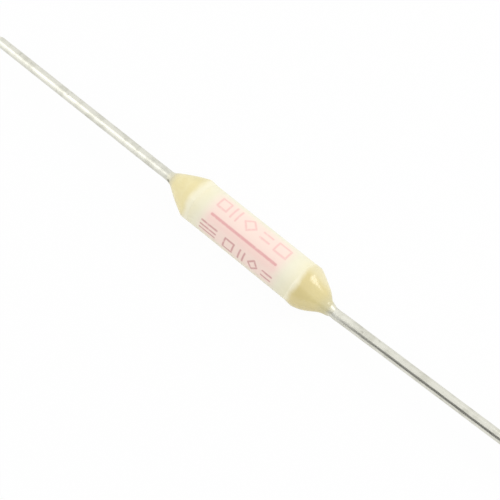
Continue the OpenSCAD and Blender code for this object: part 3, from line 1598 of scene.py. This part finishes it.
@dataclass
class Studio:
    """Pale floor, white surroundings, a dark card, soft lamps and the camera."""

    azimuth_deg: float = 40.838
    elevation_deg: float = 68.675
    distance: float = 56.759
    lens: float = 76.261
    sensor: float = 36.0
    slide_right: float = -0.0419
    slide_up: float = -0.4253
    sight: Span = (1.0, 10000.0)
    floor_size: float = 600.0
    floor_white: float = 0.96
    floor_gloss: float = 0.6
    floor_tone: float = 0.88
    room_level: float = 0.885
    card_x: Span = (-12.0, 110.0)
    card_y: float = -60.0
    card_z: Span = (4.0, 85.0)
    card_level: float = 0.6
    card_shown: float = 0.19
    lamps: tuple[SoftBox, ...] = (
        SoftBox("key_light", place=(53.0, 58.0, 62.0), width=36.0, height=44.0, radiance=3.8),
        SoftBox("top_light", place=(-55.0, -40.0, 80.0), width=64.0, height=64.0, radiance=0.74),
        SoftBox("side_fill", place=(-56.0, -85.0, 34.0), width=50.0, height=76.0, radiance=0.22),
    )

    def camera(self) -> None:
        """Place the camera as the photograph's view was fitted."""
        a, e = math.radians(self.azimuth_deg), math.radians(self.elevation_deg)
        back = Vector((math.sin(a) * math.cos(e), -math.cos(a) * math.cos(e), math.sin(e)))
        turn = (-back).to_track_quat("-Z", "Y")
        right, up = turn @ Vector((1, 0, 0)), turn @ Vector((0, 1, 0))
        data = bpy.data.cameras.new("camera")
        data.lens, data.sensor_width = self.lens, self.sensor
        data.clip_start, data.clip_end = (limit * MM for limit in self.sight)
        place = back * self.distance + right * self.slide_right + up * self.slide_up
        bpy.context.scene.camera = stand_up("camera", data, place, turn)

    def sheet(self, name: str, corners: list[Point], material: bpy.types.Material) -> bpy.types.Object:
        """Make a flat sheet of the stage.

        Args:
            name: Name of the sheet.
            corners: Its corners in millimetres.
            material: Its finish.

        Returns:
            The sheet.
        """
        mesh = bpy.data.meshes.new(name)
        points = [tuple(v * MM for v in corner) for corner in corners]
        mesh.from_pydata(points, [], [tuple(range(len(corners)))])
        mesh.materials.append(material)
        sheet = bpy.data.objects.new(name, mesh)
        bpy.context.scene.collection.objects.link(sheet)
        return sheet

    def floor(self) -> None:
        """Lay a pale floor that shows white from above, keeps a faint shadow and is clear from below."""
        material = bpy.data.materials.new("pale_floor")
        wiring = blank_wiring(material)
        matt = wiring.add("ShaderNodeBsdfDiffuse", {"Color": (self.floor_tone,) * 3}).outputs[0]
        glow = wiring.add("ShaderNodeEmission", {"Color": WHITE_LIGHT, "Strength": 1.0}).outputs[0]
        path = wiring.add("ShaderNodeLightPath").outputs
        straight = wiring.most(path["Is Camera Ray"], path["Is Transmission Ray"])
        share = wiring.most(wiring.times(straight, self.floor_white),
                            wiring.times(path["Is Glossy Ray"], self.floor_gloss))
        above = wiring.add("ShaderNodeMixShader", {0: share, 1: matt, 2: glow}).outputs[0]
        clear = wiring.add("ShaderNodeBsdfTransparent").outputs[0]
        under = wiring.add("ShaderNodeNewGeometry").outputs["Backfacing"]
        mixed = wiring.add("ShaderNodeMixShader", {0: under, 1: above, 2: clear}).outputs[0]
        wiring.add("ShaderNodeOutputMaterial", {"Surface": mixed})
        half, level = self.floor_size / 2, CAD_BOX[0].z / MM
        corners = [(-half, -half, level), (half, -half, level), (half, half, level), (-half, half, level)]
        self.sheet("floor", corners, material)

    def seen(self, wiring: Wiring) -> Socket:
        """Mask of the rays that show the background: straight ones, from gloss and through clear pieces.

        Args:
            wiring: Wiring of a material or world.

        Returns:
            The mask.
        """
        path = wiring.add("ShaderNodeLightPath").outputs
        shown = wiring.most(path["Is Camera Ray"], path["Is Glossy Ray"])
        return wiring.most(shown, path["Is Transmission Ray"])

    def room(self) -> None:
        """Surround the part with plain white."""
        world = bpy.data.worlds.new("white_room")
        bpy.context.scene.world = world
        wiring = blank_wiring(world)
        level = wiring.span(self.seen(wiring), *WHOLE, self.room_level, 1.0)
        sky = wiring.add("ShaderNodeBackground", {"Color": WHITE_LIGHT, "Strength": level}).outputs[0]
        wiring.add("ShaderNodeOutputWorld", {"Surface": sky})

    def card(self) -> None:
        """Stand a dark card on the near side, out of sight, to give the metal and resin a dark edge."""
        material = bpy.data.materials.new("grey_card")
        wiring = blank_wiring(material)
        level = wiring.span(self.seen(wiring), *WHOLE, self.card_level, self.card_shown)
        glow = wiring.add("ShaderNodeEmission", {"Color": WHITE_LIGHT, "Strength": level}).outputs[0]
        wiring.add("ShaderNodeOutputMaterial", {"Surface": glow})
        (left, right), near, (low, high) = self.card_x, self.card_y, self.card_z
        corners = [(left, near, low), (right, near, low), (right, near, high), (left, near, high)]
        card = self.sheet("dark_card", corners, material)
        card.visible_camera = False
        card.visible_shadow = False

    def build(self) -> None:
        """Put up the whole studio."""
        self.camera()
        self.floor()
        self.room()
        self.card()
        for lamp in self.lamps:
            lamp.build()
        bpy.context.scene.view_settings.view_transform = "Standard"


def main() -> None:
    """Build, dress and light the fuse."""
    logging.basicConfig(level=logging.INFO, format="%(name)s: %(message)s")
    Studio().build()
    case = CeramicCase()
    case.dress(case.build())
    left = TubeEnd(Side.LEFT, case, seal_l=1.83, crown=0.05, drift=0.11, reach=0.2,
                   lead_offset=0.04, lead_lean_deg=-0.3)
    right = TubeEnd(Side.RIGHT, case, seal_l=1.55, crown=0.11, drift=-0.07, reach=0.45,
                    lead_offset=-0.16, lead_lean_deg=2.0)
    tin = TinFinish().material()
    for lead, seal in (
        (Lead(left, seed=2.3), Seal(left, LEFT_TONE, seed=4.7)),
        (Lead(right, seed=7.4), Seal(right, RIGHT_TONE, seed=8.6, bend=-0.045, fillet=0.12)),
    ):
        lead.dress(lead.build(), tin)
        seal.dress(seal.build())
    LinkInside().dress()


if __name__ == "__main__":
    main()
